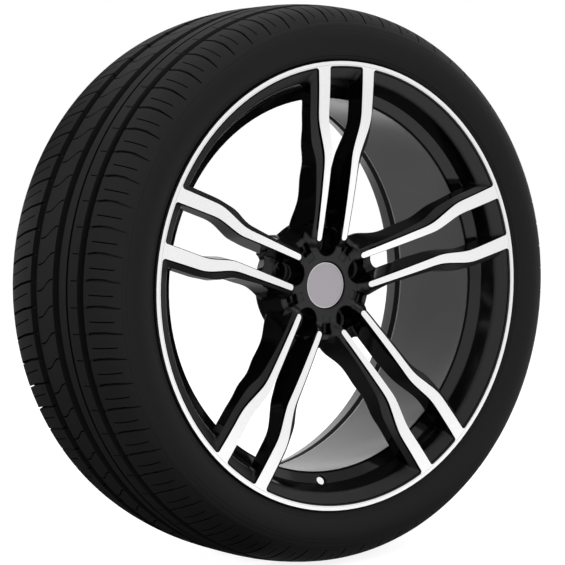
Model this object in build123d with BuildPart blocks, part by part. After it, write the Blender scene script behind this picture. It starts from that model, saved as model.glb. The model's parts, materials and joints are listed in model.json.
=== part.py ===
"""Cast alloy road wheel with its tyre, snap-in centre cap and flush tyre valve.

The wheel stands upright. The origin is on the spin axis in the middle of the rim's width,
the spin axis is Y with the street side towards -Y, and +Z is up. In the sections below a point
is (radius, height), with the height counted towards the street side. A drop is a depth behind
the turned bright ring.
"""
import os
from math import cos, exp, hypot, radians, sin, sqrt, tan

from build123d import *

# Rim: 20 inch by 8.5 inch, J flanges
rim_diameter = 508.0
rim_width = 215.9
flange_height = 17.3
flange_thickness = 13.0
rear_flange_thickness = 12.5
flange_crest = 6.0
flange_root = 6.5
rear_crest = 4.0
seat_width = 19.8
seat_taper = 5.0
hump_height = 0.9
hump_length = 5.0
well_radius = 235.0
well_gap = 9.0
barrel_wall = 5.2

# Street-side lip and the turned bright face
ring_width = 5.5
ring_edge = 1.3
ring_bevel = 3.0
lip_radius = 250.0
lip_drop = 11.0
ledge_radius = 241.0
ledge_drop = 31.0
throat_radius = 227.0
throat_drop = 40.0
lip_soft = 2.5
dish_depth = 30.4
dish_radius = 262.0
dish_power = 1.856
dish_slope = 0.22
turning_stock = 3.0

# Rear end of the barrel
barrel_end_radius = 247.4
barrel_end_drop = 201.4
rear_step = 0.8
rear_lip_radius = 256.2
rear_lip_step = 1.4
rear_band_length = 28.0

# Spokes: five pairs of arms
pair_count = 5
tip_distance = 55.0
arm_start = 58.0
arm_inner_hub = 15.4
arm_inner_rim = 24.6
arm_outer_hub = 22.3
arm_outer_knee = 25.3
arm_outer_rim = 41.0
knee_start = 148.0
knee_end = 207.0
inner_knee_lag = 6.0
bevel_width_hub = 4.4
bevel_width_rim = 7.2
bevel_swell = 4.0
bevel_swell_place = 171.0
bevel_swell_spread = 17.0
bevel_depth_hub = 3.4
bevel_depth_rim = 6.7
bevel_start = 85.0
bevel_end = 165.0
edge_step = 1.0
wall_draft = 0.10
spoke_back_rim = 23.5
spoke_back_place = 230.0
spoke_back_slope = 0.08
spoke_back_knee = 16.0
spoke_back_knee_start = 128.0
spoke_back_knee_end = 200.0
spoke_back_hub_slope = 0.13
root_flare = 11.0
root_flare_start = 64.0
root_flare_end = 112.0
window_corner = 4.0
arm_bury = 1.3
arm_steps = 6

# Hub
offset = 35.0
pad_radius = 74.0
pad_height = 12.0
hub_radius_front = 67.0
hub_radius_back = 80.5
hub_front_drop = 42.0
hub_back_drop = 71.0
ring_face_drop = 38.6
ring_face_radius = 46.0
ring_face_slope = 0.1
tip_skirt = 7.0
centre_bore = 66.6
bore_chamfer = 2.0
bolt_circle = 112.0
bolt_hole = 15.0
bolt_seat_diameter = 23.0
bolt_seat_angle = 60.0
bolt_seat_drop = 66.0
pocket_radius = 13.4
pocket_inner = 50.3
pocket_outer = 57.0
pocket_draft = 3.0
web_half_width = 14.2
web_reach = 91.0
web_drop = 56.0
slot_end_front = 85.5
slot_end_back = 82.5
slot_round_front = 12.4
slot_round_back = 11.3
notch_width = 13.0
notch_inner = 46.5
notch_outer = 60.5
notch_drop = 50.0
notch_step_inner = 37.5
notch_step_width = 11.0
notch_step_drop = 40.3
notch_pit_width = 7.0
notch_pit_length = 8.0
notch_pit_drop = 58.0
notch_soft = 1.5
relief_inner = 45.0
relief_outer = 67.0
relief_width = 22.0
relief_depth = 9.0

# Centre cap
cap_recess_radius = 29.2
cap_recess_drop = 45.5
cap_shoulder_drop = 58.0
hook_room_radius = 30.5
hook_room_drop = 64.0
cap_radius = 28.8
cap_face_drop = 42.0
cap_plate_radius = 28.0
cap_plate_thickness = 1.2
cap_plate_gap = 0.05
cap_bore_radius = 27.4
cap_leg_count = 6
cap_leg_angle = 30.0
cap_leg_thickness = 2.0
cap_leg_gap = 0.3
cap_hook = 1.2
cap_hook_length = 3.0
cap_hook_play = 0.1
cap_lip = 1.1
cap_wire = 1.6

# Tyre: 255 section, 35 aspect. A profile point is a share of the height from the crown down to the
# rim flange, and an inset from the widest place.
section_width = 255.0
tyre_diameter = 686.4
tread_half_width = 97.0
shoulder_drop = 9.6
groove_depth = 7.5
groove_draft = 1.2
bead_gap = 0.2
bead_width = 18.6
bead_thickness = 16.0
sidewall = 9.0
tread_thickness = 15.0
outer_profile = ((0.292, 11.5), (0.459, 2.5), (0.612, 0.0), (0.807, 2.5), (0.918, 6.5))
rim_shield = 1.2
rim_shield_inset = 9.5
inner_profile = ((0.848, 6.0), (0.612, 0.0), (0.431, 6.0))
pitch_count = 70
inboard_groove = (-38.75, -21.25)
middle_groove = (13.75, 30.0)
street_groove = (63.75, 76.25)
fine_groove = (43.25, 46.25)
fine_groove_depth = 4.0
slot_depth = 5.5
slot_width = 3.0
slot_tip_width = 1.4
slot_bow = 2.5
slot_lean = 22.0
slot_reach = 121.0

# Valve
valve_angle = 182.9
valve_radius = 237.0
valve_hole = 11.3
valve_recess = 14.6
valve_recess_depth = 8.6
valve_sink = 2.6
valve_spot = 17.0
valve_spot_depth = 0.5
valve_head_diameter = 15.0
valve_head_height = 5.0
valve_seal_height = 1.8
valve_neck = 7.7
valve_bore = 5.2
valve_bore_depth = 13.2
valve_chamber = 4.4
valve_passage = 3.0
valve_nut_flats = 11.0
valve_nut_height = 1.8
valve_fit = 0.05
valve_cap_diameter = 10.4
valve_cap_roof = 1.0
valve_cap_seal = 0.6
valve_cap_gap = 0.2
core_length = 9.0
core_drop = 1.2
pin_diameter = 1.0
pin_drop = 0.2
poppet_diameter = 3.6
poppet_height = 1.2

half_width = rim_width / 2
face = half_width + flange_thickness
seat_radius = rim_diameter / 2
flange_radius = seat_radius + flange_height
ring_outer = flange_radius - ring_edge
ring_inner = ring_outer - ring_width
tyre_radius = tyre_diameter / 2
widest = section_width / 2
pitch = 360 / pitch_count
section = Plane(origin=(0, 0, 0), x_dir=(1, 0, 0), z_dir=(0, 0, -1))
street = Plane.XZ


def blend(start, end, low, high, place):
    """Smooth rise from low to high while place goes from start to end."""
    share = min(max((place - start) / (end - start), 0.0), 1.0)
    return low + (high - low) * share * share * (3 - 2 * share)


def turned(radius):
    """Height of the turned bright face at a radius."""
    share = max((dish_radius - radius) / (dish_radius - tip_distance), 0.0)
    return face - dish_depth * share**dish_power


def arm_inner(place):
    return blend(knee_start + inner_knee_lag, knee_end, arm_inner_hub, arm_inner_rim, place)


def arm_outer(place):
    lean = (arm_outer_knee - arm_outer_hub) / (knee_start - tip_distance)
    rise = arm_outer_rim - arm_outer_knee - lean * (lip_radius - knee_start)
    return arm_outer_knee + lean * (place - knee_start) + blend(knee_start, knee_end, 0, rise, place)


def arm_back(place):
    """Height of an arm's back at a distance from the axis."""
    depth = spoke_back_rim + (spoke_back_place - min(place, lip_radius)) * spoke_back_slope
    depth += blend(spoke_back_knee_start, spoke_back_knee_end, spoke_back_knee, 0, place)
    return face - depth - max(knee_start - place, 0.0) * spoke_back_hub_slope


def arm_points(place):
    """Section of one arm at a distance from the axis along the pair's middle line."""
    inner = arm_inner(place)
    outer = arm_outer(place)
    top_inner = turned(hypot(inner, place))
    top_outer = turned(hypot(outer, place))
    reach = (place - bevel_swell_place) / bevel_swell_spread
    bevel_width = blend(bevel_start, bevel_end, bevel_width_hub, bevel_width_rim, place)
    bevel_width = bevel_width + bevel_swell * exp(-reach * reach)
    bevel_depth = blend(bevel_start, bevel_end, bevel_depth_hub, bevel_depth_rim, place)
    back = arm_back(place)
    shoulder = top_outer - edge_step - bevel_depth
    flare = root_flare - blend(root_flare_start, root_flare_end, 0, root_flare, place)
    wall = outer + bevel_width + wall_draft * (shoulder - back) + flare
    slot_wall = inner - edge_step - wall_draft * (top_inner - back)
    return [
        (inner, top_inner + turning_stock),
        (outer, top_outer + turning_stock),
        (outer, top_outer - edge_step),
        (outer + bevel_width, shoulder),
        (wall, back),
        (slot_wall, back),
        (inner - edge_step, top_inner - 2 * edge_step),
        (inner, top_inner - edge_step),
    ]


def crown(height):
    """Radius of the tread at a height."""
    return tyre_radius - shoulder_drop * (abs(height) / tread_half_width) ** 3


def slot(start, reach, lean):
    """Cutter for one shoulder slot at the top of the tyre, from a groove to the edge of the tread."""
    side = 1 if reach > 0 else -1
    third = start + (reach - start) / 3
    last_third = reach - (reach - start) / 3
    with BuildPart() as blade:
        with BuildSketch(Plane.XY.offset(tyre_radius - 2 * tread_thickness)):
            Polygon(
                (lean / 2 + slot_width / 2, -start),
                (lean / 6 + slot_bow + slot_width / 2, -third),
                (-lean / 6 + slot_bow + slot_width / 2, -last_third),
                (-lean / 2 + slot_tip_width / 2, -reach),
                (-lean / 2 - slot_tip_width / 2, -reach),
                (-lean / 6 + slot_bow - slot_width / 2, -last_third),
                (lean / 6 + slot_bow - slot_width / 2, -third),
                (lean / 2 - slot_width / 2, -start),
                align=None,
            )
        extrude(amount=3 * tread_thickness)
        with BuildSketch(Plane.YZ):
            Polygon(
                (-start, crown(start) - slot_depth),
                (-side * (tread_half_width - 3), crown(tread_half_width) - slot_depth),
                (-side * (widest - 15), tyre_radius - 24),
                (-side * (widest - 5), tyre_radius - 28),
                (-side * widest, tyre_radius + tread_thickness),
                (-start, tyre_radius + tread_thickness),
                align=None,
            )
        extrude(amount=2 * tread_thickness, both=True, mode=Mode.INTERSECT)
    return blade.part


def rounded(sketch, corners):
    """Round the corners of a section that lie nearest to the given points."""
    for point, radius in corners:
        near = sketch.vertices().sort_by_distance((point[0], point[1], 0))[0]
        fillet(near, radius=radius)


os.makedirs("parts", exist_ok=True)

# One arm, cut to end inside the rim, with rounds where its edges run into the bright ring
before_knee = (knee_start - arm_start) / arm_steps
in_knee = (knee_end - knee_start) / arm_steps
after_knee = (ring_inner + turning_stock - knee_end) / arm_steps
arm_stations = [arm_start + k * before_knee for k in range(arm_steps)]
arm_stations += [knee_start + k * in_knee for k in range(arm_steps)]
arm_stations += [knee_end + k * after_knee for k in range(arm_steps + 1)]
with BuildPart() as arm:
    for place in arm_stations:
        with BuildSketch(section.offset(-place)):
            Polygon(*arm_points(place), align=None)
    loft()
    with BuildSketch(section):
        with BuildLine():
            Polyline(
                (ring_inner + arm_bury, face + 2 * turning_stock),
                (ring_inner + arm_bury, face),
                (throat_radius - arm_bury, face - throat_drop - 10 * arm_bury),
                (tyre_radius, face - throat_drop - 10 * arm_bury),
                (tyre_radius, face + 2 * turning_stock),
                close=True,
            )
        make_face()
    revolve(axis=Axis.Y, mode=Mode.SUBTRACT)
    with BuildSketch(street.offset(face - lip_drop)):
        for edge, room in ((arm_inner(ring_inner), -1), (arm_outer(ring_inner), 1)):
            root = edge - room * edge_step
            across = edge + room * (window_corner - edge_step / 4)
            along = sqrt((ring_inner - window_corner) ** 2 - across**2)
            reach = (ring_inner + edge_step) / (ring_inner - window_corner)
            Polygon(
                (across, along),
                (root, along),
                (root, along + 2 * window_corner),
                (across * reach, along * reach),
                align=None,
            )
            with Locations((across, along)):
                Circle(window_corner, mode=Mode.SUBTRACT)
    extrude(amount=lip_drop + turning_stock)

# The web that closes the gap between two arms at the hub, with its hollow end
slot_run = hub_back_drop - web_drop
slot_lean_rate = (slot_end_back - slot_end_front) / slot_run
slot_round_rate = (slot_round_back - slot_round_front) / slot_run
with BuildPart() as web:
    with BuildSketch(street.offset(face - hub_back_drop)):
        with Locations((0, (arm_start + web_reach) / 2)):
            Rectangle(2 * web_half_width, web_reach - arm_start)
    extrude(amount=slot_run)
    for drop in (hub_back_drop + edge_step, web_drop - edge_step):
        run = drop - web_drop
        end_round = slot_round_front + slot_round_rate * run
        end_place = slot_end_front + slot_lean_rate * run + end_round
        with BuildSketch(street.offset(face - drop)):
            with Locations((0, end_place)):
                Circle(end_round)
    loft(mode=Mode.SUBTRACT)

# One pair: two arms with round tips, and the web between them
tip = arm_points(arm_start)
tip_middle = (tip[0][0] + tip[1][0]) / 2
tip_half = (tip[1][0] - tip[0][0]) / 2
tip_top = turned(arm_start)
tip_bevel = tip_half + bevel_width_hub
with BuildPart() as pair:
    add(arm.part)
    with BuildSketch(section.offset(-arm_start)):
        with BuildLine():
            Polyline(
                (tip_middle, tip_top + turning_stock),
                (tip_middle + tip_half, tip_top + turning_stock),
                (tip_middle + tip_half, tip_top - edge_step),
                (tip_middle + tip_bevel, tip_top - edge_step - bevel_depth_hub),
                (tip_middle + tip_bevel + tip_skirt, face - hub_front_drop),
                (tip_middle + tip_bevel + tip_skirt, face - bolt_seat_drop),
                (tip_middle, face - bolt_seat_drop),
                close=True,
            )
        make_face()
    revolve(axis=Axis((tip_middle, 0, arm_start), (0, 1, 0)))
    mirror(about=Plane.YZ)
    add(web.part)

# Rim section
toe_radius = seat_radius - seat_width * tan(radians(seat_taper))
toe_height = half_width - seat_width
well_height = face - throat_drop - well_gap
rear_face = half_width + rear_flange_thickness
rim_points = [
    (ring_outer, face + turning_stock),
    (ring_outer, face - edge_step / 3),
    (flange_radius, face - ring_bevel),
    (flange_radius, half_width),
    (seat_radius, half_width),
    (toe_radius, toe_height),
    (toe_radius + hump_height, toe_height - hump_length / 2),
    (toe_radius, toe_height - hump_length),
    (well_radius, well_height),
    (barrel_end_radius + barrel_wall, hump_length - toe_height),
    (toe_radius + hump_height, hump_length / 2 - toe_height),
    (toe_radius, -toe_height),
    (seat_radius, -half_width),
    (flange_radius, -half_width),
    (flange_radius, -rear_face),
    (rear_lip_radius, rear_lip_step - rear_face),
    (barrel_end_radius + rear_step, rear_band_length - rear_face),
    (barrel_end_radius + rear_step, face - barrel_end_drop - 2 * rear_step),
    (barrel_end_radius, face - barrel_end_drop),
    (throat_radius, face - throat_drop),
    (ledge_radius, face - ledge_drop),
    (lip_radius, face - lip_drop),
    (ring_inner, face - edge_step / 2),
    (ring_inner, face + turning_stock),
]
rim_rounds = [
    ((flange_radius, half_width), flange_crest),
    ((seat_radius, half_width), flange_root),
    ((well_radius, well_height), flange_root),
    ((seat_radius, -half_width), flange_root),
    ((flange_radius, -half_width), flange_crest),
    ((flange_radius, -rear_face), rear_crest),
    ((rear_lip_radius, rear_lip_step - rear_face), lip_soft / 2),
    ((barrel_end_radius + rear_step, rear_band_length - rear_face), lip_soft),
    ((throat_radius, face - throat_drop), lip_soft),
    ((ledge_radius, face - ledge_drop), lip_soft),
    ((lip_radius, face - lip_drop), lip_soft),
]

# Tyre valve: its axis stands square on the grey cone between ledge and throat
cone_run = ledge_radius - throat_radius
cone_rise = throat_drop - ledge_drop
cone_length = hypot(cone_run, cone_rise)
valve_height = face - ledge_drop - (ledge_radius - valve_radius) * cone_rise / cone_run
axis_in = cone_rise / cone_length
axis_out = cone_run / cone_length
well_slope = (toe_height - hump_length - well_height) / (toe_radius - well_radius)
wall_rise = valve_height - well_height - (valve_radius - well_radius) * well_slope
valve_wall = wall_rise / (axis_out + axis_in * well_slope) - valve_spot_depth
clock = radians(valve_angle)
valve = Plane(
    origin=(valve_radius * sin(clock), -valve_height, valve_radius * cos(clock)),
    x_dir=(cos(clock), 0, -sin(clock)),
    z_dir=(-axis_in * sin(clock), -axis_out, -axis_in * cos(clock)),
)
base = (Align.CENTER, Align.CENTER, Align.MIN)
roof = (Align.CENTER, Align.CENTER, Align.MAX)

# Everything that is cut out of the finished hub
seat_run = (bolt_seat_diameter - bolt_hole) / 2 / tan(radians(bolt_seat_angle / 2))
with BuildPart() as hub_station:
    with BuildSketch(street.offset(face - bolt_seat_drop)):
        with Locations((0, (pocket_inner + pocket_outer) / 2)):
            SlotCenterToCenter(pocket_outer - pocket_inner, 2 * pocket_radius, rotation=90)
    extrude(amount=bolt_seat_drop, taper=-pocket_draft)
    with BuildSketch(section.offset(-bolt_circle / 2)):
        with BuildLine():
            Polyline(
                (0, face - bolt_seat_drop + edge_step),
                (bolt_seat_diameter / 2, face - bolt_seat_drop + edge_step),
                (bolt_seat_diameter / 2, face - bolt_seat_drop),
                (bolt_hole / 2, face - bolt_seat_drop - seat_run),
                (bolt_hole / 2, offset - edge_step),
                (0, offset - edge_step),
                close=True,
            )
        make_face()
    revolve(axis=Axis((0, 0, bolt_circle / 2), (0, 1, 0)))
with BuildPart() as notch:
    notch_middle = (notch_inner + notch_outer) / 2
    step_middle = (notch_step_inner + notch_inner - edge_step) / 2
    with BuildSketch(street.offset(face - notch_drop)):
        with Locations((0, notch_middle)):
            RectangleRounded(notch_width, notch_outer - notch_inner, notch_soft)
    extrude(amount=notch_drop)
    with BuildSketch(street.offset(face - notch_pit_drop)):
        with Locations((0, notch_middle)):
            RectangleRounded(notch_pit_width, notch_pit_length, notch_soft)
    extrude(amount=notch_pit_drop)
    with BuildSketch(street.offset(face - notch_step_drop)):
        with Locations((0, step_middle)):
            RectangleRounded(notch_step_width, notch_inner - edge_step - notch_step_inner, notch_soft)
    extrude(amount=notch_step_drop)
    with BuildSketch(street.offset(offset - edge_step)):
        with Locations((0, (relief_inner + relief_outer) / 2)):
            RectangleRounded(relief_width, relief_outer - relief_inner, 4 * notch_soft)
    extrude(amount=relief_depth + edge_step)
with BuildPart() as cuts:
    with BuildSketch(section):
        with BuildLine():
            Polyline(
                (0, face),
                (cap_recess_radius, face),
                (cap_recess_radius, face - cap_recess_drop),
                (cap_bore_radius, face - cap_recess_drop),
                (cap_bore_radius, face - cap_shoulder_drop),
                (hook_room_radius, face - cap_shoulder_drop),
                (hook_room_radius, face - hook_room_drop),
                (centre_bore / 2, face - hook_room_drop),
                (centre_bore / 2, offset + bore_chamfer),
                (centre_bore / 2 + bore_chamfer, offset),
                (centre_bore / 2 + bore_chamfer, offset - edge_step),
                (0, offset - edge_step),
                close=True,
            )
        make_face()
    revolve(axis=Axis.Y)
    for k in range(pair_count):
        add(hub_station.part, rotation=(0, k * 360 / pair_count, 0))
        add(notch.part, rotation=(0, (k + 0.5) * 360 / pair_count, 0))
    with Locations(valve.offset(-valve_recess_depth)):
        Cylinder(valve_recess / 2, 2 * valve_recess_depth, align=base)
    with Locations(valve):
        Cylinder(valve_hole / 2, 2 * valve_wall, align=roof)
    with Locations(valve.offset(-valve_wall)):
        Cylinder(valve_spot / 2, 3 * valve_head_height, align=roof)

with BuildPart() as wheel:
    with BuildSketch(section) as rim_section:
        with BuildLine():
            Polyline(*rim_points, close=True)
        make_face()
        rounded(rim_section, rim_rounds)
    revolve(axis=Axis.Y)
    with BuildSketch(section):
        with BuildLine():
            Polyline(
                (cap_bore_radius / 2, face - ring_face_drop - ring_face_slope * ring_face_radius / 2),
                (ring_face_radius, face - ring_face_drop),
                (ring_face_radius + 2 * edge_step, face - ring_face_drop - edge_step),
                (hub_radius_front, face - hub_front_drop - edge_step),
                (hub_radius_back, face - hub_back_drop),
                (pad_radius, offset + pad_height),
                (pad_radius, offset),
                (cap_bore_radius / 2, offset),
                close=True,
            )
        make_face()
    revolve(axis=Axis.Y)
    for k in range(pair_count):
        add(pair.part, rotation=(0, k * 360 / pair_count, 0))
    with BuildSketch(section):
        with BuildLine():
            dish = [(r, turned(r)) for r in (cap_bore_radius / 2, 50, 85, 120, 155, 190, 225, 245)]
            Spline(*dish, (dish_radius, face), tangents=((1, dish_slope), (1, 0)))
            Polyline(
                (dish_radius, face),
                (flange_radius + turning_stock, face),
                (flange_radius + turning_stock, face + 2 * turning_stock),
                (cap_bore_radius / 2, face + 2 * turning_stock),
                dish[0],
            )
        make_face()
    revolve(axis=Axis.Y, mode=Mode.SUBTRACT)
    add(cuts.part, mode=Mode.SUBTRACT)
wheel.part.label = "wheel"
export_step(wheel.part, "parts/wheel.step")

# Tyre: one ring of rubber with its tread grooves and shoulder slots
bead_heel = half_width - bead_gap
bead_foot = seat_radius + bead_gap
bead_toe = bead_foot - bead_width * tan(radians(seat_taper))
wall_height = tyre_radius - flange_radius
outside = [(crown(tread_half_width * share), tread_half_width * share) for share in (0, 0.5, 0.8, 1)]
outside += [(tyre_radius - wall_height * fall, widest - inset) for fall, inset in outer_profile]
outside += [(flange_radius + rim_shield, widest - rim_shield_inset)]
inside = [
    (bead_toe, bead_heel - bead_width),
    (bead_toe + bead_thickness / 2, bead_heel - bead_width - bead_gap),
    (flange_radius - bead_thickness / 5, widest - sidewall - 1.4 * bead_thickness),
]
inside += [(tyre_radius - wall_height * fall, widest - sidewall - inset) for fall, inset in inner_profile]
inside += [
    (crown(tread_half_width) - 0.8 * tread_thickness, tread_half_width - bead_gap),
    (crown(tread_half_width * 0.7) - tread_thickness, tread_half_width * 0.7),
    (crown(0) - tread_thickness, 0),
]
bead_rounds = [
    ((flange_radius + bead_gap, bead_heel), flange_crest + bead_gap),
    ((bead_foot, bead_heel), flange_root + bead_gap),
]
grooves = [
    (inboard_groove, groove_depth),
    (middle_groove, groove_depth),
    (street_groove, groove_depth),
    (fine_groove, fine_groove_depth),
]
street_slot = slot(street_groove[1] - edge_step, slot_reach, 0)
inboard_slot = slot(inboard_groove[0] + edge_step, -slot_reach, slot_lean)
with BuildPart() as tyre:
    with BuildSketch(section) as tyre_section:
        with BuildLine():
            Spline(*outside, tangents=((0, 1), (-1, -1)))
            Polyline(
                outside[-1],
                (flange_radius + bead_gap, half_width + flange_crest),
                (flange_radius + bead_gap, bead_heel),
                (bead_foot, bead_heel),
                inside[0],
                inside[1],
            )
            Spline(*inside[1:], tangents=((1, 0.4), (0, -1)))
            Line(inside[-1], outside[0])
        make_face()
        rounded(tyre_section, bead_rounds)
        mirror(about=Plane.XZ)
    revolve(axis=Axis.Y)
    for (low, high), depth in grooves:
        draft = groove_draft * depth / groove_depth
        floor = crown((low + high) / 2) - depth
        top = tyre_radius + groove_draft
        with BuildSketch(section):
            with BuildLine():
                Polyline((floor, low + draft), (top, low), (top, high), (floor, high - draft), close=True)
            make_face()
        revolve(axis=Axis.Y, mode=Mode.SUBTRACT)
    with Locations(*[Location((0, 0, 0), (0, k * pitch, 0)) for k in range(pitch_count)]):
        add(street_slot, mode=Mode.SUBTRACT)
    with Locations(*[Location((0, 0, 0), (0, (k + 0.5) * pitch, 0)) for k in range(pitch_count)]):
        add(inboard_slot, mode=Mode.SUBTRACT)
tyre.part.label = "tyre"
export_step(tyre.part, "parts/tyre.step")

# Centre cap: a disc with six sprung legs, a wire that spreads them, and a plain badge plate
leg_outer = cap_bore_radius - cap_leg_gap
leg_inner = leg_outer - cap_leg_thickness
hook_top = face - cap_shoulder_drop - cap_hook_play
hook_end = hook_top - cap_hook_length
with BuildPart() as leg:
    with BuildSketch(section):
        with BuildLine():
            Polyline(
                (leg_inner, face - cap_recess_drop + edge_step),
                (leg_outer, face - cap_recess_drop + edge_step),
                (leg_outer, hook_top),
                (leg_outer + cap_hook, hook_top),
                (leg_outer + cap_hook, hook_top - cap_hook / 2),
                (leg_outer, hook_end),
                (leg_inner - cap_lip, hook_end),
                (leg_inner - cap_lip, hook_end + cap_hook),
                (leg_inner, hook_end + cap_hook),
                close=True,
            )
        make_face()
    revolve(axis=Axis.Y, revolution_arc=cap_leg_angle)
with BuildPart() as cap_body:
    with Locations(street.offset(face - cap_recess_drop)):
        Cylinder(cap_radius, cap_recess_drop - cap_face_drop, align=base)
    fillet(cap_body.edges().sort_by(Axis.Y)[0], radius=cap_plate_thickness / 4)
    with Locations(street.offset(face - cap_face_drop)):
        Cylinder(cap_plate_radius + cap_plate_gap, cap_plate_thickness, align=roof, mode=Mode.SUBTRACT)
    for k in range(cap_leg_count):
        add(leg.part, rotation=(0, k * 360 / cap_leg_count, 0))
cap_body.part.label = "cap_body"
export_step(cap_body.part, "parts/cap_body.step")

with BuildPart() as cap_plate:
    with Locations(street.offset(face - cap_face_drop)):
        Cylinder(cap_plate_radius, cap_plate_thickness, align=roof)
    fillet(cap_plate.edges().sort_by(Axis.Y)[0], radius=cap_plate_thickness / 3)
cap_plate.part.label = "cap_plate"
export_step(cap_plate.part, "parts/cap_plate.step")

with BuildPart() as cap_wire_ring:
    with Locations(street.offset(hook_end + cap_hook + cap_wire / 2)):
        Torus(leg_inner - cap_wire / 2, cap_wire / 2)
cap_wire_ring.part.label = "cap_wire_ring"
export_step(cap_wire_ring.part, "parts/cap_wire_ring.step")

# Tyre valve, built outwards from the tyre side; heights run along its axis from the grey cone
seal_floor = -valve_wall - valve_seal_height
valve_top = -valve_sink - valve_cap_roof - valve_cap_seal
core_top = valve_top - core_drop
core_floor = core_top - core_length
cap_floor = valve_nut_height - valve_recess_depth + valve_cap_gap
with BuildPart(valve) as valve_stem:
    with Locations((0, 0, seal_floor)):
        Cylinder(valve_neck / 2, valve_top - seal_floor, align=base)
        Cylinder(valve_head_diameter / 2, valve_head_height, align=roof)
    with Locations((0, 0, core_floor)):
        Cylinder(valve_bore / 2, valve_top - core_floor, align=base, mode=Mode.SUBTRACT)
    with Locations((0, 0, valve_top - valve_bore_depth)):
        Cylinder(valve_chamber / 2, valve_bore_depth, align=base, mode=Mode.SUBTRACT)
    with Locations((0, 0, seal_floor - valve_head_height)):
        Cylinder(valve_passage / 2, valve_top - seal_floor, align=base, mode=Mode.SUBTRACT)
valve_stem.part.label = "valve_stem"
export_step(valve_stem.part, "parts/valve_stem.step")

with BuildPart(valve) as valve_seal:
    with Locations((0, 0, seal_floor)):
        Cylinder(valve_head_diameter / 2, valve_seal_height, align=base)
        Cylinder(valve_hole / 2 - valve_fit, -seal_floor - valve_recess_depth - valve_cap_gap, align=base)
        Cylinder(valve_neck / 2 + valve_fit, -seal_floor, align=base, mode=Mode.SUBTRACT)
valve_seal.part.label = "valve_seal"
export_step(valve_seal.part, "parts/valve_seal.step")

with BuildPart() as valve_nut:
    with BuildSketch(valve.offset(-valve_recess_depth)):
        RegularPolygon(valve_nut_flats / 2, 6, major_radius=False)
        Circle(valve_neck / 2 + valve_fit, mode=Mode.SUBTRACT)
    extrude(amount=valve_nut_height)
valve_nut.part.label = "valve_nut"
export_step(valve_nut.part, "parts/valve_nut.step")

with BuildPart(valve) as valve_core:
    with Locations((0, 0, core_floor)):
        Cylinder(valve_bore / 2 - valve_fit, core_length, align=base)
        Cylinder(pin_diameter / 2 + valve_fit, core_length, align=base, mode=Mode.SUBTRACT)
valve_core.part.label = "valve_core"
export_step(valve_core.part, "parts/valve_core.step")

with BuildPart(valve) as valve_pin:
    with Locations((0, 0, core_floor)):
        Cylinder(poppet_diameter / 2, poppet_height, align=roof)
        Cylinder(pin_diameter / 2, valve_top - pin_drop - core_floor, align=base)
valve_pin.part.label = "valve_pin"
export_step(valve_pin.part, "parts/valve_pin.step")

with BuildPart(valve) as valve_cap:
    cap_height = valve_top + valve_cap_seal + valve_cap_roof - cap_floor
    with Locations((0, 0, cap_floor)):
        Cylinder(valve_cap_diameter / 2, cap_height, align=base)
        fillet(valve_cap.edges().sort_by(Axis(valve.origin, valve.z_dir))[-1], radius=valve_cap_roof / 2)
        Cylinder(valve_neck / 2 + valve_fit, cap_height - valve_cap_roof, align=base, mode=Mode.SUBTRACT)
valve_cap.part.label = "valve_cap"
export_step(valve_cap.part, "parts/valve_cap.step")

with BuildPart(valve) as valve_cap_disc:
    with Locations((0, 0, valve_top)):
        Cylinder(valve_neck / 2, valve_cap_seal, align=base)
valve_cap_disc.part.label = "valve_cap_seal"
export_step(valve_cap_disc.part, "parts/valve_cap_seal.step")
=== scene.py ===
"""Looks of the car wheel and its tyre: paint, turned metal, rubber, studio light and camera."""
import json
import math

import bmesh
import bpy
from mathutils import Matrix, Vector

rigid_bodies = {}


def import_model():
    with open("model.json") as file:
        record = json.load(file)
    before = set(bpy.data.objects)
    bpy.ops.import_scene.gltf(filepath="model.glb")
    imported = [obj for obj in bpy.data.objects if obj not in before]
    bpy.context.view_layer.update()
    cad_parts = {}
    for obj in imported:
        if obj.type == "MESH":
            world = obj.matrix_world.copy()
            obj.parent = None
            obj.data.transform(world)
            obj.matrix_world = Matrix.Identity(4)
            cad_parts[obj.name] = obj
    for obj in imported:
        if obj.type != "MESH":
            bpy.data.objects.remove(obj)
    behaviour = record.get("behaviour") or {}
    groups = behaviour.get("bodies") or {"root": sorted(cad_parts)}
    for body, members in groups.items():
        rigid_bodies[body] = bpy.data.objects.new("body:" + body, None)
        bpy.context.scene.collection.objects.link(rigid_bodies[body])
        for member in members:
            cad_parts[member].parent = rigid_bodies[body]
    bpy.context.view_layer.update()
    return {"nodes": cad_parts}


# Sizes shared with the part's source, in millimetres. A drop counts inwards from the bright ring,
# a height from the wheel's middle towards the street side
FACE = 120.95
DISH_DEPTH = 30.4
DISH_RADIUS = 262.0
DISH_TIP = 55.0
DISH_POWER = 1.856
THROAT_RADIUS = 227.0
THROAT_DROP = 40.0
TYRE_RADIUS = 343.2
PITCHES = 70
PLATE_RADIUS = 28.0

# Where the wheel's finishes meet, in millimetres
TURNED_REACH = 0.45  # a point this near the turned dish is bright
EDGE_DEPTH = 2.3  # the painted shade line beside a bright face ends this far below the dish
EDGE_RADII = 72.0, 263.0
THROAT_LINE = 1.7, 0.3  # the painted shade line at the barrel's front reaches this far before and behind it
THROAT_REACH = 4.0
BARREL_FADE = 0.2, 0.6  # black turns to grey this far before and behind the barrel's front
BARREL_MARGIN = 3.0
RING_LINE, RING_LINE_HALF = 265.6, 0.45  # fine line in the bright ring
BAND_DROP, BAND_HALF = 207.2, 5.4  # painted shade: dark band in the groove near the barrel's rear
REAR_LINE_DROP, REAR_LINE_HALF = 199.9, 1.4  # painted highlight: light line on the edge in front of that band
REAR_EDGE_DROPS = 211.5, 213.0  # the barrel's last edge turns darker here
BEVEL_DEPTHS = 14.0, 12.0  # the satin bevels beside the bright faces fade out here
HUB_RADIUS = 80.0
HUB_FADE = 90.0  # the hub's extra rounding fades out here
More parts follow.
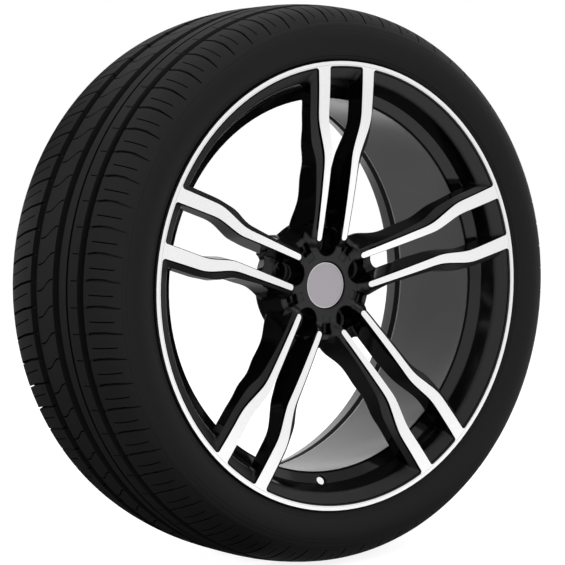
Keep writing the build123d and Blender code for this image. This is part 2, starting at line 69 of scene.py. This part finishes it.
LIP_RADII = 243.0, 247.0  # the lip's extra rounding fades in here
LIP_DROP = 30.0

# Shaded rounding of painted edges in metres, and what the hub and the lip add to it
EDGE_ROUNDING, HUB_ROUNDING, LIP_ROUNDING = 0.0018, 0.0022, 0.0052

# Roughness of the black paint, and what the other finishes of the wheel add to it
PAINT_ROUGH, BARREL_ROUGH, TURNED_ROUGH, BEVEL_SATIN, HUB_SATIN = 0.08, 0.1, 0.2, 0.3, 0.18
STREET_SLOPE = -0.35  # faces whose normal's y is below this look to the street side
PAINT_GLOSS = 0.36
THROAT_SHADE, BAND_SHADE = 0.85, 0.75

# Grain in bumps per metre, and turning lines in radians per millimetre
FLECKS, CLOUDS, PAINT_PEEL, TURNING = 900.0, 14.0, 420.0, 14.0
PAINT_SKIN = 0.00002

# Colours of the wheel
PAINT = (0.002, 0.002, 0.0021, 1.0)
BARREL_DARK, BARREL_LIGHT = (0.175, 0.175, 0.178, 1.0), (0.215, 0.215, 0.218, 1.0)
REAR_EDGE = (0.11, 0.11, 0.112, 1.0)
# Painted shade in the groove near the barrel's rear
GROOVE_SHADE = (0.012, 0.012, 0.012, 1.0)
# Painted highlight on the edge in front of that groove
REAR_HIGHLIGHT = (0.6, 0.6, 0.6, 1.0)
TURNED_DARK, TURNED_LIGHT = (0.87, 0.87, 0.87, 1.0), (0.91, 0.91, 0.91, 1.0)
RING_LINE_METAL = (0.68, 0.68, 0.68, 1.0)
# Painted shade: near black and without reflections, for cuts and dark lines
PAINTED_SHADE = (0.0005, 0.0005, 0.0005, 1.0)

# The tyre's tread and walls, in millimetres
CROWN_RADIUS = 318.0
WALL_HEIGHT = 90.0
RIB_HEIGHTS, RIB_HALF = (-21.0, 13.75), 0.9  # waved sipe across the middle of the tread
WAVE_START, WAVE_LENGTH, WAVE_BEND, WAVE_DRIFT = -19.0, 33.0, 0.11, 0.5
FINE_GROOVE, FINE_GROOVE_HALF, FINE_GROOVE_SHADE = 44.75, 2.1, 0.65
# Straight sipes: end heights, half width, pivot height, lean in pitches per millimetre, and shift
# in pitches
SIPES = [
    (84.0, 115.0, 0.7, 100.0, 0.0006, 0.0),
    (-120.0, -48.0, 0.7, -80.0, -0.0085, 0.4),
    (52.0, 64.0, 0.6, 0.0, 0.0, 0.5),
]
# Mould rings: radius, half width at the foot and at the top, and share of the full height
MOULD_RINGS = [(313.6, 2.5, 1.7, 1.0), (277.8, 1.6, 0.6, 1.0), (305.0, 0.9, 0.2, -0.5)]
RUBBER_CLOUDS, RUBBER_PORES = 9.0, 700.0
RUBBER_DARK, RUBBER_LIGHT = (0.006, 0.006, 0.0062, 1.0), (0.0085, 0.0085, 0.0087, 1.0)
RUBBER_ROUGH, RUBBER_GLOSS = 0.52, 0.12
RUBBER_SKIN = 0.0006

# Grain of the small pieces: bumps per metre and depth in metres
MOULDED = 600.0, 0.00002
SMOOTH = 900.0, 0.00001
SOFT = 600.0, 0.00003
# The cap plate's painted highlight on its edge starts and is full this far inside its radius, in
# millimetres
PLATE_EDGE = 1.4, 1.0
PLATE_EDGE_HIGHLIGHT = (0.66, 0.65, 0.66, 1.0)

# The photograph's camera: place in metres, angles in degrees, lens and sensor in millimetres
EYE = Vector((-1.511, -2.0737, 0.142))
LOOK_AZIMUTH = -35.948
LOOK_ELEVATION = 3.174
LENS = 131.06
SENSOR = 36.0

# Even light that the surroundings shed on matt surfaces
WORLD_LIGHT = 0.15
WHITE = (1.0, 1.0, 1.0, 1.0)

# The floor: half its side in metres, and its glow for every ray, for rays that show it, and for the
# camera near the tyre and further out
GROUND = -TYRE_RADIUS / 1000.0
FLOOR_HALF = 9.0
FLOOR_GLOW, FLOOR_SHOWN, FLOOR_NEAR, FLOOR_FAR = 0.04, 0.71, 0.13, 0.12
FLOOR_FADE = 500.0, 1500.0
PAPER = (0.3, 0.3, 0.3, 1.0)

# Tilt and turn of a card in degrees
UPRIGHT = 90.0, 0.0
SIDEWAYS = 90.0, 90.0
FLAT = 0.0, 0.0


class Value:
    """A socket in a node tree. Arithmetic on it adds Math nodes."""

    def __init__(self, tree, socket=None):
        self.tree = tree
        self.socket = socket

    def node(self, kind, settings=None, values=None, output=0):
        """Add a node, set it up, feed its sockets and give back one of its outputs."""
        made = self.tree.nodes.new(kind)
        for name, setting in (settings or {}).items():
            setattr(made, name, setting)
        for key, value in (values or {}).items():
            if isinstance(value, Value):
                self.tree.links.new(value.socket, made.inputs[key])
            else:
                made.inputs[key].default_value = value
        return Value(self.tree, made.outputs[output] if made.outputs else None)

    def math(self, operation, *others, first=None):
        """Add a Math node whose first term is this value, unless another is given."""
        terms = [self if first is None else first, *others]
        return self.node("ShaderNodeMath", {"operation": operation}, dict(enumerate(terms)))

    def __add__(self, other):
        return self.math("ADD", other)

    def __radd__(self, other):
        return self.math("ADD", other)

    def __sub__(self, other):
        return self.math("SUBTRACT", other)

    def __rsub__(self, other):
        return self.math("SUBTRACT", self, first=other)

    def __mul__(self, other):
        return self.math("MULTIPLY", other)

    def __rmul__(self, other):
        return self.math("MULTIPLY", other)

    def __pow__(self, other):
        return self.math("POWER", other)

    def __neg__(self):
        return self.math("MULTIPLY", -1.0)

    def __lt__(self, other):
        return self.math("LESS_THAN", other)

    def __gt__(self, other):
        return self.math("GREATER_THAN", other)

    def __abs__(self):
        return self.math("ABSOLUTE")

    def between(self, low, high):
        """1 between two limits, else 0."""
        return (self > low) * (self < high)

    def near(self, middle, half):
        """1 within half a width of the middle, else 0."""
        return abs(self - middle) < half

    def join(self, other):
        """The larger of two masks."""
        return self.math("MAXIMUM", other)

    def step(self, start, end):
        """Smooth rise from 0 at start to 1 at end."""
        return self.node(
            "ShaderNodeMapRange",
            {"interpolation_type": "SMOOTHSTEP"},
            {"Value": self, "From Min": start, "From Max": end, "To Min": 0.0, "To Max": 1.0},
        )

    def mix(self, low, high):
        """Blend two colours by this value."""
        values = {0: self, 6: low, 7: high}
        return self.node("ShaderNodeMix", {"data_type": "RGBA"}, values, output=2)


def new_finish(name):
    """A new material and the value its nodes start from."""
    material = bpy.data.materials.new(name)
    material.use_nodes = True
    material.node_tree.nodes.clear()
    return material, Value(material.node_tree)


def close_finish(start, surface):
    """Send the surface to the material's output."""
    start.node("ShaderNodeOutputMaterial", values={"Surface": surface})


def own_place(start):
    """Place in the piece's own space, in metres."""
    return start.node("ShaderNodeTexCoord", output="Object")


def along(start, place, axis):
    """A place's measure along one axis, in millimetres."""
    return start.node("ShaderNodeSeparateXYZ", values={0: place}, output=axis) * 1000.0


def axle_radius(start, place):
    """Distance from the wheel's axle, in millimetres."""
    x, z = along(start, place, "X"), along(start, place, "Z")
    return (x * x + z * z).math("SQRT")


def street_height(start, place):
    """Height towards the street side, in millimetres."""
    return -along(start, place, "Y")


def clock_angle(start, place):
    """Angle round the axle from the top, in degrees."""
    return along(start, place, "X").math("ARCTAN2", along(start, place, "Z")) * (180.0 / math.pi)


def grain(start, place, scale, detail=3.0):
    """Fine noise from 0 to 1 in the piece's own space; scale is in bumps per metre."""
    values = {"Vector": place, "Scale": scale, "Detail": detail}
    return start.node("ShaderNodeTexNoise", values=values)


def principled(start, values):
    """A surface with these sockets set."""
    return start.node("ShaderNodeBsdfPrincipled", values=values)


def bump(start, height, distance, normal=None):
    """Normal from a height map; distance is the height of its full range in metres."""
    values = {"Height": height, "Distance": distance}
    if normal is not None:
        values["Normal"] = normal
    return start.node("ShaderNodeBump", values=values)


def with_painted_shade(start, surface, painted_shade_mask):
    """The surface with painted shade, black and without reflections, where the mask shows it: in
    cuts and along dark lines.
    """
    shade = principled(start, {"Base Color": PAINTED_SHADE, "Roughness": 0.9, "Specular IOR Level": 0.0})
    return start.node("ShaderNodeMixShader", values={0: painted_shade_mask, 1: surface, 2: shade})


def wheel_finish():
    """Gloss black paint, with the street face turned bright and the barrel sprayed grey."""
    material, start = new_finish("wheel_paint_and_turned_face")
    place = own_place(start)
    radius, height = axle_radius(start, place), street_height(start, place)
    fleck = grain(start, place, FLECKS)
    cloud = grain(start, place, CLOUDS)
    lines = (radius * TURNING).math("SINE")

    # Bright where the surface lies on the turned dish, grey in the barrel
    share = (DISH_RADIUS - radius).math("MAXIMUM", 0.0) * (1.0 / (DISH_RADIUS - DISH_TIP))
    turned = FACE - DISH_DEPTH * share**DISH_POWER
    below = turned - height
    bright = height.near(turned, TURNED_REACH)
    drop = FACE - height
    barrel = drop.step(THROAT_DROP - BARREL_FADE[0], THROAT_DROP + BARREL_FADE[1])
    barrel = barrel * (radius > THROAT_RADIUS - BARREL_MARGIN)

    # Painted shade: a dark band in the groove near the barrel's rear
    band = drop.near(BAND_DROP, BAND_HALF) * barrel
    # Painted highlight: a light line on the edge in front of that band
    rear_highlight = drop.near(REAR_LINE_DROP, REAR_LINE_HALF) * barrel
    grey = fleck.mix(BARREL_DARK, BARREL_LIGHT)
    grey = drop.step(*REAR_EDGE_DROPS).mix(grey, REAR_EDGE)
    grey = rear_highlight.mix(band.mix(grey, GROOVE_SHADE), REAR_HIGHLIGHT)
    metal = (lines * 0.5 + 0.5).mix(TURNED_DARK, TURNED_LIGHT)
    metal = radius.near(RING_LINE, RING_LINE_HALF).mix(metal, RING_LINE_METAL)
    colour = bright.mix(barrel.mix(PAINT, grey), metal)

    # Painted shade: dark lines without reflections beside the bright faces, at the barrel's front
    # and in the rear band
    edge = below.between(TURNED_REACH, EDGE_DEPTH) * radius.between(*EDGE_RADII)
    throat = drop.between(THROAT_DROP - THROAT_LINE[0], THROAT_DROP + THROAT_LINE[1])
    throat = throat * radius.near(THROAT_RADIUS, THROAT_REACH)
    edge = edge.join(throat * THROAT_SHADE).join(band * BAND_SHADE)

    # Satin on the sloped painted faces beside the bright ones and on the hub
    plain = start.node("ShaderNodeNewGeometry", output="Normal")
    slope = start.node("ShaderNodeSeparateXYZ", values={0: plain}, output="Y") < STREET_SLOPE
    satin = below.step(*BEVEL_DEPTHS) * (radius > HUB_RADIUS) * BEVEL_SATIN
    satin = satin + (radius < HUB_RADIUS) * HUB_SATIN
    rough = PAINT_ROUGH + 0.04 * cloud
    rough = rough + barrel * (BARREL_ROUGH + 0.06 * fleck) + bright * (TURNED_ROUGH + 0.03 * lines)
    rough = rough + satin * slope * (1.0 - bright)

    # Painted edges look rounded; the turned faces keep their sharp borders
    rounding = EDGE_ROUNDING + HUB_ROUNDING * radius.step(HUB_FADE, HUB_RADIUS)
    rounding = rounding + LIP_ROUNDING * radius.step(*LIP_RADII) * (drop < LIP_DROP)
    rounded = start.node("ShaderNodeBevel", {"samples": 6}, {"Radius": rounding})
    normals = {0: bright, 4: rounded, 5: plain}
    normal = start.node("ShaderNodeMix", {"data_type": "VECTOR"}, normals, output=1)
    skin = grain(start, place, PAINT_PEEL) * 0.3 * (1.0 - bright) + lines * bright * 0.05
    surface = principled(
        start,
        {
            "Base Color": colour,
            "Metallic": bright,
            "Roughness": rough,
            "Specular IOR Level": PAINT_GLOSS,
            "Normal": bump(start, skin, PAINT_SKIN, normal=normal),
        },
    )
    close_finish(start, with_painted_shade(start, surface, edge))
    return material


def tyre_finish():
    """Matt rubber, a little cloudy, with rings on the walls and painted shade in the moulded sipes
    and the fine groove of the tread.
    """
    material, start = new_finish("tyre_rubber")
    place = own_place(start)
    radius, height = axle_radius(start, place), street_height(start, place)
    pitch = clock_angle(start, place) * (PITCHES / 360.0)
    pitch_arc = 2 * math.pi * TYRE_RADIUS / PITCHES
    crown = radius > CROWN_RADIUS

    def sipe(offset, low, high, half):
        """Mask of the painted shade in one thin cut per pitch that runs from one height to another.
        """
        across = ((pitch + offset).math("FRACT") - 0.5) * pitch_arc
        return (abs(across) < half) * height.between(low, high) * crown

    # Painted shade in the sipes and in the fine groove of the tread
    wave = (height - WAVE_START) * (1.0 / WAVE_LENGTH)
    swing = wave - (wave * (2 * math.pi)).math("SINE") * WAVE_BEND
    painted_shade_mask = sipe(-(swing * WAVE_DRIFT), *RIB_HEIGHTS, RIB_HALF)
    for low, high, half, pivot, lean, shift in SIPES:
        painted_shade_mask = painted_shade_mask.join(sipe((height - pivot) * lean + shift, low, high, half))
    painted_shade_mask = painted_shade_mask.join(height.near(FINE_GROOVE, FINE_GROOVE_HALF) * crown * FINE_GROOVE_SHADE)

    cloud = grain(start, place, RUBBER_CLOUDS, 5.0)
    pores = grain(start, place, RUBBER_PORES)
    rings = sum(abs(radius - ring).step(foot, top) * part for ring, foot, top, part in MOULD_RINGS)
    rings = rings * (1.0 - (abs(height) < WALL_HEIGHT))
    rubber = principled(
        start,
        {
            "Base Color": cloud.mix(RUBBER_DARK, RUBBER_LIGHT),
            "Roughness": RUBBER_ROUGH + 0.12 * cloud + 0.06 * pores,
            "Specular IOR Level": RUBBER_GLOSS,
            "Normal": bump(start, pores * 0.1 + rings * 0.8, RUBBER_SKIN),
        },
    )
    close_finish(start, with_painted_shade(start, rubber, painted_shade_mask))
    return material


def plain_finish(name, low, high, metallic, rough, texture, rim=None):
    """One colour with a fine grain in its tone and surface; a rim radius adds a painted highlight
    at the edge.
    """
    material, start = new_finish(name)
    place = own_place(start)
    scale, depth = texture
    fine = grain(start, place, scale)
    colour = fine.mix((*low, 1.0), (*high, 1.0))
    # Painted highlight along the cap plate's edge
    if rim is not None:
        edge = axle_radius(start, place).step(rim - PLATE_EDGE[0], rim - PLATE_EDGE[1])
        colour = edge.mix(colour, PLATE_EDGE_HIGHLIGHT)
    surface = principled(
        start,
        {
            "Base Color": colour,
            "Metallic": metallic,
            "Roughness": rough + 0.08 * fine,
            "Normal": bump(start, fine, depth),
        },
    )
    close_finish(start, surface)
    return material


def ray(start, kind):
    """1 for rays of one kind, else 0."""
    return start.node("ShaderNodeLightPath", output=kind)


def shown(start):
    """1 for rays that show the surroundings: to the camera, in gloss and through clear material."""
    seen, shiny = ray(start, "Is Camera Ray"), ray(start, "Is Glossy Ray")
    return seen.join(shiny).join(ray(start, "Is Transmission Ray"))


def glow(start, level):
    """White light of this level from the surface itself."""
    return start.node("ShaderNodeEmission", values={"Color": WHITE, "Strength": level})


def stand(name, form, material):
    """Put a finished form on the stage as an object."""
    mesh = bpy.data.meshes.new(name)
    form.to_mesh(mesh)
    form.free()
    mesh.materials.append(material)
    made = bpy.data.objects.new(name, mesh)
    bpy.context.scene.collection.objects.link(made)
    return made


def floor():
    """A pale floor under the tyre that runs out of view."""
    material, start = new_finish("floor_paper")
    place = own_place(start)
    radius, height = axle_radius(start, place), street_height(start, place)
    spread = (radius * radius + height * height).math("SQRT").step(*FLOOR_FADE)
    near = ray(start, "Is Camera Ray") * (FLOOR_NEAR + FLOOR_FAR * spread)
    level = FLOOR_GLOW + shown(start) * FLOOR_SHOWN + near
    paper = start.node("ShaderNodeBsdfDiffuse", values={"Color": PAPER})
    lit = start.node("ShaderNodeAddShader", values={0: paper, 1: glow(start, level)})
    close_finish(start, lit)
    form = bmesh.new()
    bmesh.ops.create_grid(form, x_segments=2, y_segments=2, size=FLOOR_HALF)
    bmesh.ops.translate(form, vec=(0, 0, GROUND), verts=form.verts)
    ground = stand("floor", form, material)


def studio():
    """White surroundings and four soft lamps that gloss doesn't show."""
    world = bpy.data.worlds.new("studio")
    world.use_nodes = True
    world.node_tree.nodes.clear()
    start = Value(world.node_tree)
    level = WORLD_LIGHT + shown(start) * (1.0 - WORLD_LIGHT)
    sky = start.node("ShaderNodeBackground", values={"Color": WHITE, "Strength": level})
    start.node("ShaderNodeOutputWorld", values={"Surface": sky})
    bpy.context.scene.world = world
    # Name, place and size in metres, and power in watts; each lamp points at the wheel's middle
    lamps = [
        ("overhead", (-0.3, -0.3, 2.6), 2.0, 40.0),
        ("key", (0.5, -2.4, 1.4), 1.4, 70.0),
        ("left", (-2.8, 0.0, 0.7), 0.5, 85.0),
        ("rear", (1.5, 2.6, 1.5), 1.4, 14.0),
    ]
    for name, place, size, power in lamps:
        lamp = bpy.data.lights.new(name, "AREA")
        lamp.energy = power
        lamp.size = size
        holder = bpy.data.objects.new(name, lamp)
        holder.location = place
        holder.visible_glossy = False
        holder.rotation_euler = (-Vector(place)).to_track_quat("-Z", "Y").to_euler()
        bpy.context.scene.collection.objects.link(holder)


def card(name, place, half, lie, level):
    """A plain card of one brightness that only gloss shows, a painted reflection: a dark or grey
    flag, or a bright strip that paints highlights.
    """
    material, start = new_finish(name + "_face")
    close_finish(start, glow(start, level))
    form = bmesh.new()
    bmesh.ops.create_grid(form, x_segments=1, y_segments=1, size=1.0)
    bmesh.ops.scale(form, vec=(*half, 1.0), verts=form.verts)
    for angle, axis in zip(lie, "XZ"):
        turn = Matrix.Rotation(math.radians(angle), 3, axis)
        bmesh.ops.rotate(form, matrix=turn, verts=form.verts)
    bmesh.ops.translate(form, vec=place, verts=form.verts)
    sheet = stand(name, form, material)
    for kind in ("camera", "diffuse", "transmission", "shadow"):
        setattr(sheet, "visible_" + kind, False)


def cards():
    """Cards that only gloss shows, as painted reflections: dark and grey cards for the paint and
    the barrel to mirror, and a bright strip that paints highlights on rounded edges.
    """
    low = GROUND + 0.001
    # Every card is a painted reflection; the strip gives painted highlights on rounded edges
    # Name, middle and half sides in metres, the way it lies, and brightness
    rows = [
        ("flag_behind", (-0.135, 0.3, 0.255), (0.235, 0.105), UPRIGHT, 0.0),
        ("flag_middle", (0.06, 0.3, 0.0), (0.12, 0.1), UPRIGHT, 0.55),
        ("flag_rear", (0.31, 1.6, -0.07), (0.26, 0.27), UPRIGHT, 0.2),
        ("flag_high", (0.0, 1.6, 1.18), (0.3, 0.17), UPRIGHT, 0.0),
        ("flag_right", (2.35, 1.6, 1.05), (0.4, 0.4), UPRIGHT, 0.0),
        ("flag_web", (1.42, 1.6, 0.84), (0.16, 0.22), UPRIGHT, 0.1),
        ("flag_left", (-1.795, 1.6, 0.63), (0.945, 0.97), UPRIGHT, 0.0),
        ("flag_side", (-2.75, 0.5, 0.13), (1.1, 0.47), SIDEWAYS, 0.0),
        ("flag_floor", (0.26, 0.68, low), (0.36, 0.95), FLAT, 0.25),
        ("flag_floor_right", (0.735, 0.68, low), (0.115, 0.95), FLAT, 0.5),
        ("flag_floor_left", (-0.85, 0.68, low), (0.75, 0.95), FLAT, 0.05),
        ("flag_above", (0.75, -0.95, 2.0), (2.25, 1.05), FLAT, 0.5),
        ("strip", (1.3, -0.6, 1.9), (1.3, 0.06), FLAT, 7.0),
    ]
    for row in rows:
        card(*row)


def camera():
    """The photograph's viewpoint."""
    lens = bpy.data.cameras.new("camera")
    lens.lens = LENS
    lens.sensor_width = SENSOR
    eye = bpy.data.objects.new("camera", lens)
    turn, rise = math.radians(LOOK_AZIMUTH), math.radians(LOOK_ELEVATION)
    level = math.cos(rise)
    back = Vector((math.sin(turn) * level, -math.cos(turn) * level, math.sin(rise)))
    eye.location = EYE
    eye.rotation_euler = (-back).to_track_quat("-Z", "Y").to_euler()
    bpy.context.scene.collection.objects.link(eye)
    bpy.context.scene.camera = eye


for leftover in list(bpy.data.objects):
    bpy.data.objects.remove(leftover)
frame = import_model()
nodes = frame["nodes"]

# Name, darker and lighter colour, metallic, roughness and grain
finishes = {
    "wheel": wheel_finish(),
    "tyre": tyre_finish(),
    "cap_body": plain_finish(
        "cap_black", (0.004, 0.004, 0.004), (0.006, 0.006, 0.006), 0.0, 0.2, MOULDED
    ),
    "cap_plate": plain_finish(
        "cap_mauve", (0.39, 0.365, 0.39), (0.43, 0.4, 0.43), 1.0, 0.42, SMOOTH, PLATE_RADIUS
    ),
    "cap_wire_ring": plain_finish(
        "spring_wire", (0.4, 0.4, 0.4), (0.5, 0.5, 0.5), 1.0, 0.3, SMOOTH
    ),
    "valve_stem": plain_finish(
        "valve_metal", (0.6, 0.6, 0.61), (0.7, 0.7, 0.71), 1.0, 0.3, SMOOTH
    ),
    "valve_cap": plain_finish(
        "valve_cap_silver", (0.86, 0.86, 0.86), (0.92, 0.92, 0.92), 0.1, 0.3, SMOOTH
    ),
    "valve_core": plain_finish(
        "valve_brass", (0.55, 0.4, 0.16), (0.65, 0.5, 0.22), 1.0, 0.3, SMOOTH
    ),
    "valve_seal": plain_finish(
        "seal_rubber", (0.01, 0.01, 0.01), (0.015, 0.015, 0.015), 0.0, 0.6, SOFT
    ),
}
finishes["valve_nut"] = finishes["valve_stem"]
finishes["valve_pin"] = finishes["valve_core"]
finishes["valve_cap_seal"] = finishes["valve_seal"]
for name, node in nodes.items():
    node.data.materials.clear()
    node.data.materials.append(finishes[name])

floor()
cards()
studio()
camera()
bpy.context.scene.view_settings.view_transform = "Standard"
